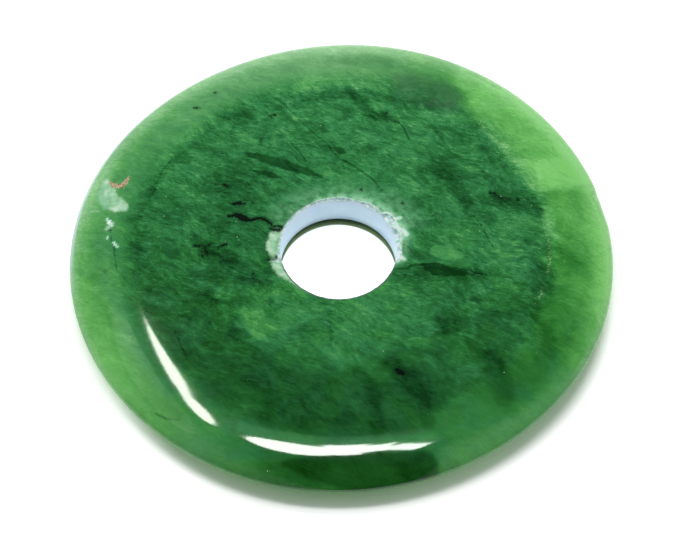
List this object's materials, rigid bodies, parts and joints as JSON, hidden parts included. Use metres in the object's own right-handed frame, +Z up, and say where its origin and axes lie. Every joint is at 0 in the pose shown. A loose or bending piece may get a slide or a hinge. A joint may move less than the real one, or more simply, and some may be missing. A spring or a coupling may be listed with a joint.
{
  "type": "jade bi disc",
  "caption": "Flat polished nephrite ring with a broad rounded edge and a plain drilled bore off-centre, for threading on a cord.",
  "frame": {"origin": "on the underside, below the middle of the outline's box", "axes": "+Z up through the thickness, the disc lying flat; +X along its slightly longer side, +Y away from the picture's viewer"},
  "size_m": [0.056, 0.0542, 0.0038],
  "materials": {
    "nephrite": "polished faces and edge, unpolished bore"
  },
  "bodies": {
    "root": {"jade_disc": "nephrite"}
  },
  "joints": []
}
